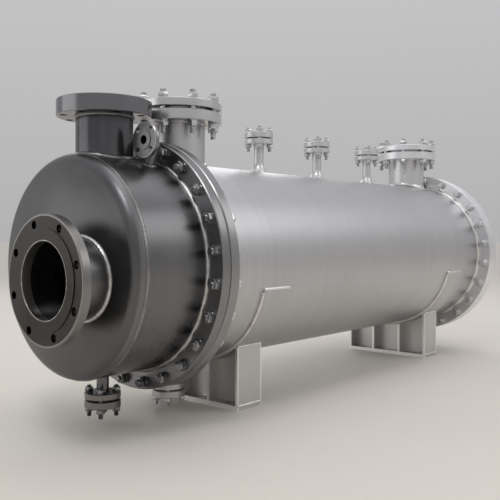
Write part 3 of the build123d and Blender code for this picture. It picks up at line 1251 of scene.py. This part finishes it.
@dataclass
class CollarWelds(Welder):
    """Fillets between the pipe of each upright nozzle and the back of its flange."""

    instrument_xs: Sequence[float] = field(kw_only=True)
    main_bead: Bead = Bead(5 * MM)
    small_bead: Bead = Bead(4 * MM)
    main_segments: int = 120
    small_segments: int = 48

    def build(self) -> None:
        """Model the beads and dress them."""
        for nozzle, finish, slot in (("outlet", CHANNEL_WELD, Slot.CHANNEL), ("vapour", SHELL_WELD, Slot.SHELL),
                                     ("rear_nozzle", SHELL_WELD, Slot.SHELL)):
            neck = Box.of(f"{nozzle}_neck")
            centre = Vector((neck.centre.x, 0, neck.high.z))
            collar = self.ring(f"{nozzle}_collar_weld", centre, neck.size.x / 2, self.main_bead, Along.UP,
                               self.main_segments)
            self.finish(collar, finish, slot)
        top_z = Box.of("instrument_necks").high.z
        small = Box.of("channel_drain_neck").size.x / 2
        rings = [self.ring("instrument_collar_weld", Vector((x, 0, top_z)), small, self.small_bead, Along.UP,
                           self.small_segments) for x in self.instrument_xs]
        self.finish(joined("instrument_collar_weld", rings), SHELL_WELD, Slot.SHELL)


@dataclass
class SaddleWelds(Welder):
    """Beads around the wear plates, along the foot of the saddle webs, and at the head and foot of the end ribs."""

    wear_bead: Bead = Bead(7.5 * MM)
    wear_lift: float = 2 * MM
    wear_segments: int = 260
    saddle_bead: Bead = Bead(4 * MM)
    ends: tuple[str, str] = ("front", "rear")

    def wear_plate(self, end: str) -> None:
        """Model the bead around the wear plate of one saddle.

        Args:
            end: End of the vessel that the saddle carries.
        """
        name = f"{end}_wear_weld"
        plate = Box.of(f"{end}_wear_plate")
        radius = self.vessel.shell_radius + self.wear_lift
        cut = (0, 0, plate.high.z - self.wear_bead.half)
        beads = []
        for x in (plate.low.x, plate.high.x):
            centre = Vector((x, 0, self.vessel.axis_z))
            ring = self.ring(name, centre, radius, self.wear_bead, Along.VESSEL, self.wear_segments)
            with editing(ring):
                bpy.ops.mesh.select_all(action="SELECT")
                bpy.ops.mesh.bisect(plane_co=cut, plane_no=(0, 0, 1), use_fill=True, clear_outer=True)
            beads.append(ring)
        half = math.sqrt(radius ** 2 - (self.vessel.axis_z - plate.high.z) ** 2)
        beads += [self.bar(name, (plate.centre.x, y, plate.high.z), plate.size.x, self.wear_bead, Along.VESSEL)
                  for y in (-half, half)]
        self.finish(joined(name, beads), SHELL_WELD_HIGHLIGHT, Slot.SADDLE)

    def saddle(self, end: str) -> None:
        """Model the beads of one saddle's web and ribs.

        Args:
            end: End of the vessel that the saddle carries.
        """
        web, base, ribs, plate = (
            Box.of(f"{end}_{node}") for node in ("saddle_web", "base_plate", "saddle_ribs", "wear_plate"))
        bead = self.saddle_bead
        name = f"{end}_saddle_weld"
        beads = [self.bar(name, (x, 0, base.high.z), web.size.y - 4 * bead.half, bead, Along.ACROSS)
                 for x in (web.low.x, web.high.x)]
        self.finish(joined(name, beads), SHELL_WELD, Slot.SADDLE)
        name = f"{end}_rib_weld"
        plate_radius = self.vessel.axis_z - plate.low.z
        head_z = self.vessel.axis_z - math.sqrt(plate_radius ** 2 - ribs.high.y ** 2)
        beads = [self.bar(name, (ribs.centre.x, y, z), ribs.size.x - bead.half, bead, Along.VESSEL)
                 for y in (ribs.low.y, ribs.high.y) for z in (base.high.z, head_z)]
        self.finish(joined(name, beads), SHELL_WELD_HIGHLIGHT, Slot.SADDLE)

    def build(self) -> None:
        """Model the beads of both saddles and dress them."""
        for lay in (self.wear_plate, self.saddle):
            for end in self.ends:
                lay(end)


# Tube ends


@dataclass
class TubeEnds:
    """Ends of the tube bundle, which stand a little out of the front tubesheet."""

    vessel: Vessel
    diameter: float = 25 * MM
    wall: float = 2 * MM
    pitch: float = 32 * MM
    stand: float = 3 * MM
    bore_depth: float = 2.7 * MM
    field_radius: float = 292 * MM
    sides: int = 12
    crease: float = 40.0

    def model(self) -> bpy.types.Object:
        """Model one tube end along Z, open at the top with a near-black floor of painted shade.

        Returns:
            The tube end.
        """
        end = started("tube_end", bpy.ops.mesh.primitive_cylinder_add, vertices=self.sides, radius=self.diameter / 2,
                      depth=self.stand)
        end.data.materials.append(material_of(TUBE_METAL))
        end.data.materials.append(material_of(TUBE_BORE_SHADE))
        with editing(end):
            pick_ends(end, 1)
            bpy.ops.mesh.inset(thickness=self.wall)
            bpy.ops.mesh.extrude_region_move(TRANSFORM_OT_translate={"value": (0, 0, -self.bore_depth)})
            # The floor takes the near-black painted shade.
            end.active_material_index = 1
            bpy.ops.object.material_slot_assign()
        smooth(end, self.crease)
        return end

    def places(self) -> list[Matrix]:
        """Places of the tubes on a triangular pitch, within the bundle's circle.

        Returns:
            One matrix for each tube.
        """
        face_x = Box.of("front_tubesheet").low.x - self.stand / 2
        row = self.pitch * math.sqrt(3) / 2
        reach = int(self.field_radius / row) + 1
        turn = Matrix.Rotation(-math.pi / 2, 4, "Y")
        places = []
        for j in range(-reach, reach + 1):
            for i in range(-reach, reach + 1):
                y, z = (i + (j % 2) / 2) * self.pitch, j * row
                if math.hypot(y, z) <= self.field_radius - self.diameter / 2:
                    places.append(Matrix.Translation((face_x, y, self.vessel.axis_z + z)) @ turn)
        return places

    def build(self) -> None:
        """Model the bundle's ends and dress them."""
        dress(patterned("front_tube_ends", self.model(), self.places()), TUBE_METAL)


# Studio


def looking(place: Point, ahead: Vector) -> Matrix:
    """Matrix of a lamp or a camera at a place that looks ahead."""
    return Matrix.Translation(place) @ ahead.to_track_quat("-Z", "Y").to_matrix().to_4x4()


@dataclass(frozen=True)
class Softbox:
    """Rectangular lamp that points at a place on the object."""

    name: str
    place: Point
    target: Point
    size: Span
    power: float

    def build(self) -> None:
        """Add the lamp."""
        light = bpy.data.lights.new(self.name, "AREA")
        light.shape = "RECTANGLE"
        light.size, light.size_y = self.size
        light.energy = self.power
        lamp = bpy.data.objects.new(self.name, light)
        bpy.context.collection.objects.link(lamp)
        lamp.matrix_world = looking(self.place, Vector(self.target) - Vector(self.place))


@dataclass
class Studio:
    """Pale floor, soft lamps, a graded surround and the camera."""

    frame_px: float = 500.0
    view_turn: float = 41.24
    eye: Point = (-2.1825, -1.68, 0.564)
    focal_px: float = 694.0
    centre_px: Span = (250.0, 233.7)
    view_end: float = 200.0
    floor_size: float = 80.0
    lamps: tuple[Softbox, ...] = (
        Softbox("overhead", (-0.2, -0.3, 4.2), (-0.2, 0.0, 0.5), (4.5, 2.6), 24.0),
        Softbox("front_left", (-4.6, 3.0, 1.2), (-1.0, -0.1, 0.5), (4.0, 2.0), 22.0),
        Softbox("front_high", (-2.4, -0.9, 3.1), (-1.05, -0.1, 0.7), (0.8, 0.8), 18.0),
        Softbox("side", (2.4, -3.8, 3.6), (-0.1, 0.0, 0.5), (4.0, 2.2), 36.0),
        Softbox("back", (2.8, 3.6, 3.2), (0.4, 0.0, 0.5), (3.0, 2.0), 40.0),
    )
    sky: Colour = (0.70, 0.69, 0.715)
    sky_start: float = 0.8
    horizon: Colour = (0.45, 0.45, 0.45)

    def floor(self) -> None:
        """Lay the floor."""
        floor = started("floor", bpy.ops.mesh.primitive_plane_add, size=self.floor_size)
        floor.data.materials.append(material_of(FLOOR))

    def surround(self) -> None:
        """Grade the surround from the horizon upwards."""
        world = bpy.data.worlds.new("surround")
        bpy.context.scene.world = world
        world.use_nodes = True
        tree = world.node_tree
        background = next(n for n in tree.nodes if n.type == "BACKGROUND")
        direction = tree.nodes.new("ShaderNodeTexCoord").outputs["Generated"]
        height = tree.nodes.new("ShaderNodeSeparateXYZ")
        tree.links.new(direction, height.inputs[0])
        ramp = tree.nodes.new("ShaderNodeValToRGB")
        stops = ramp.color_ramp.elements
        for stop, place, colour in zip(stops, (0.0, self.sky_start), (self.horizon, self.sky)):
            stop.position = place
            stop.color = rgba(colour)
        tree.links.new(height.outputs["Z"], ramp.inputs[0])
        tree.links.new(ramp.outputs[0], background.inputs["Color"])
        background.inputs["Strength"].default_value = 1.0

    def camera(self) -> None:
        """Set the camera at the photograph's angle."""
        data = bpy.data.cameras.new("camera")
        data.lens = self.focal_px / self.frame_px * data.sensor_width
        data.shift_x = 0.5 - self.centre_px[0] / self.frame_px
        data.shift_y = self.centre_px[1] / self.frame_px - 0.5
        data.clip_end = self.view_end
        camera = bpy.data.objects.new("camera", data)
        bpy.context.collection.objects.link(camera)
        turn = math.radians(self.view_turn)
        camera.matrix_world = looking(self.eye, Vector((math.cos(turn), math.sin(turn), 0)))
        bpy.context.scene.camera = camera

    def build(self) -> None:
        """Set up the whole studio."""
        self.floor()
        self.surround()
        for lamp in self.lamps:
            lamp.build()
        self.camera()
        bpy.context.scene.view_settings.view_transform = "Standard"


def write_sizes() -> None:
    """Update the view layer."""
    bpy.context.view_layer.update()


def main() -> None:
    """Dress the solids, add the studs, welds and tube ends, and set up the studio."""
    logging.basicConfig(level=logging.INFO, format="%(message)s")
    vessel = Vessel.read()
    Solids().dress()
    GirthStuds(vessel).build()
    covers = CoverStuds()
    covers.build()
    instrument_xs = covers.instrument_places()
    GirthWelds(vessel).build()
    FootWelds(vessel, instrument_xs=instrument_xs).build()
    InletWelds(vessel).build()
    CollarWelds(vessel, instrument_xs=instrument_xs).build()
    SaddleWelds(vessel).build()
    TubeEnds(vessel).build()
    Studio().build()
    write_sizes()


if __name__ == "__main__":
    main()
